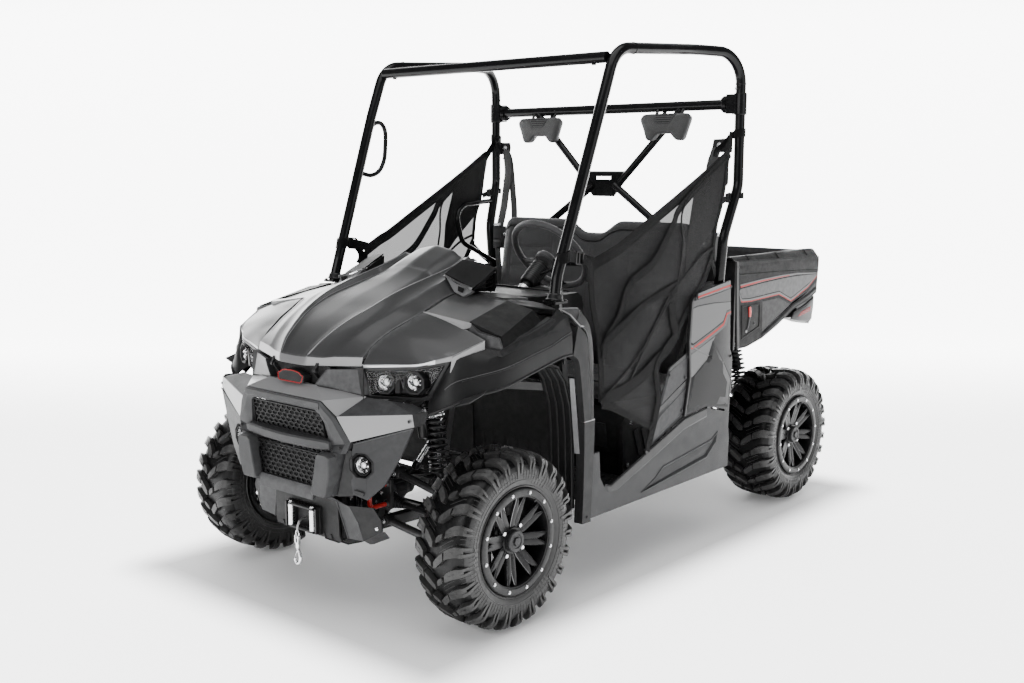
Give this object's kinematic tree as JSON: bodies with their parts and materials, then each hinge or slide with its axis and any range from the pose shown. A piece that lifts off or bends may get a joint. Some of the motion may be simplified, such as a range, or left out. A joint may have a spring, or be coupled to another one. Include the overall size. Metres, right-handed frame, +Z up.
{
  "type": "side by side utility vehicle",
  "caption": "Two seat side by side utility vehicle with tube cage, bench seat, side nets, tipping cargo bed, tailgate and steered front wheels on knobbly tyres.",
  "frame": {"origin": "on the ground under the middle of the vehicle", "axes": "+Z up, +Y towards the tail, +X towards the driver's side (the vehicle's left)"},
  "size_m": [1.544, 2.9129, 2.1342],
  "materials": {
    "frame_black": "semi gloss powder coat",
    "tube_black": "gloss powder coat",
    "plastic_charcoal": "fine grained moulding",
    "plastic_black": "grained moulding",
    "plastic_black_gloss": "gloss",
    "grille_mesh": "moulded hexagon mesh",
    "lamp_housing": "clear covered lamp pod",
    "body_grey": "metallic grey",
    "seat_vinyl": "grained vinyl",
    "head_rest_foam": "moulded foam",
    "belt_webbing": "woven webbing",
    "net_mesh": "open mesh",
    "cast_metal": "as cast",
    "exhaust_steel": "heat tinted",
    "arm_black": "powder coat",
    "shock_black": "coated spring",
    "bright_steel": "zinc plated",
    "hook_red": "gloss",
    "tyre_rubber": "matte rubber",
    "rim_black": "satin black with machined edges"
  },
  "bodies": {
    "chassis": {"frame_rails": "frame_black", "main_frame": "frame_black", "cage_hoops": "tube_black", "cage_cross_bars": "tube_black", "grab_bars": "tube_black", "front_bumper": "plastic_charcoal", "bumper_lower": "plastic_charcoal", "grille": "grille_mesh", "nose_panel": "plastic_black_gloss", "front_lamps": "lamp_housing", "front_fenders": "body_grey", "cowl": "body_grey", "dashboard": "plastic_black", "floor_tub": "plastic_black", "rockers": "plastic_charcoal", "side_panels": "body_grey", "seat_base": "plastic_black", "seat_cushion": "seat_vinyl", "seat_back": "seat_vinyl", "head_rests": "head_rest_foam", "seat_belts": "belt_webbing", "side_nets": "net_mesh", "steering_column": "plastic_black", "engine_block": "cast_metal", "radiator": "cast_metal", "exhaust": "exhaust_steel", "drive_line": "cast_metal", "suspension_arms": "arm_black", "shocks": "shock_black", "winch": "bright_steel", "tow_hooks": "hook_red", "hitch_receiver": "frame_black"},
    "steer_left": {"knuckle_left": "cast_metal"},
    "steer_right": {"knuckle_right": "cast_metal"},
    "wheel_front_left": {"tyre_front_left": "tyre_rubber", "rim_front_left": "rim_black"},
    "wheel_front_right": {"tyre_front_right": "tyre_rubber", "rim_front_right": "rim_black"},
    "wheel_rear_left": {"tyre_rear_left": "tyre_rubber", "rim_rear_left": "rim_black"},
    "wheel_rear_right": {"tyre_rear_right": "tyre_rubber", "rim_rear_right": "rim_black"},
    "steering_wheel": {"steering_wheel": "plastic_black"},
    "steering_rack": {"steering_rack": "bright_steel"},
    "hood": {"hood": "body_grey"},
    "cargo_bed": {"cargo_bed": "plastic_black", "bed_sides": "plastic_charcoal"},
    "tailgate": {"tailgate": "plastic_black"}
  },
  "joints": [
    {"name": "steer_left", "type": "hinge", "parent": "chassis", "child": "steer_left", "pos_m": [0.6, -1.0115, 0.324], "axis": [0, 0, 1], "range_deg": [-28, 28]},
    {"name": "steer_right", "type": "hinge", "parent": "chassis", "child": "steer_right", "pos_m": [-0.6, -1.0115, 0.324], "axis": [0, 0, 1], "range_deg": [-28, 28]},
    {"name": "steering_wheel_turn", "type": "hinge", "parent": "chassis", "child": "steering_wheel", "pos_m": [0.37, -0.3715, 1.28], "axis": [0, 0.788, 0.6157], "range_deg": [-253, 253]},
    {"name": "rack_slide", "type": "slide", "parent": "chassis", "child": "steering_rack", "axis": [1, 0, 0], "range_m": [-0.042, 0.042]},
    {"name": "spin_front_left", "type": "hinge", "parent": "steer_left", "child": "wheel_front_left", "pos_m": [0.7, -1.0115, 0.324], "axis": [1, 0, 0], "continuous": true},
    {"name": "spin_front_right", "type": "hinge", "parent": "steer_right", "child": "wheel_front_right", "pos_m": [-0.7, -1.0115, 0.324], "axis": [1, 0, 0], "continuous": true},
    {"name": "spin_rear_left", "type": "hinge", "parent": "chassis", "child": "wheel_rear_left", "pos_m": [0.62, 1.1325, 0.324], "axis": [1, 0, 0], "continuous": true},
    {"name": "spin_rear_right", "type": "hinge", "parent": "chassis", "child": "wheel_rear_right", "pos_m": [-0.62, 1.1325, 0.324], "axis": [1, 0, 0], "continuous": true},
    {"name": "hood_hinge", "type": "hinge", "parent": "chassis", "child": "hood", "pos_m": [0, -1.3815, 0.912], "axis": [1, 0, 0], "range_deg": [0, 65]},
    {"name": "bed_tip", "type": "hinge", "parent": "chassis", "child": "cargo_bed", "pos_m": [0, 1.2185, 0.86], "axis": [-1, 0, 0], "range_deg": [0, 40]},
    {"name": "tailgate_hinge", "type": "hinge", "parent": "cargo_bed", "child": "tailgate", "pos_m": [0, 1.3185, 0.917], "axis": [-1, 0, 0], "range_deg": [0, 90]}
  ],
  "couplings": [
    {"joint": "steer_right", "follows": "steer_left", "ratio": 1},
    {"joint": "steering_wheel_turn", "follows": "steer_left", "ratio": 9},
    {"joint": "rack_slide", "follows": "steer_left", "m_per_rad": -0.085}
  ]
}
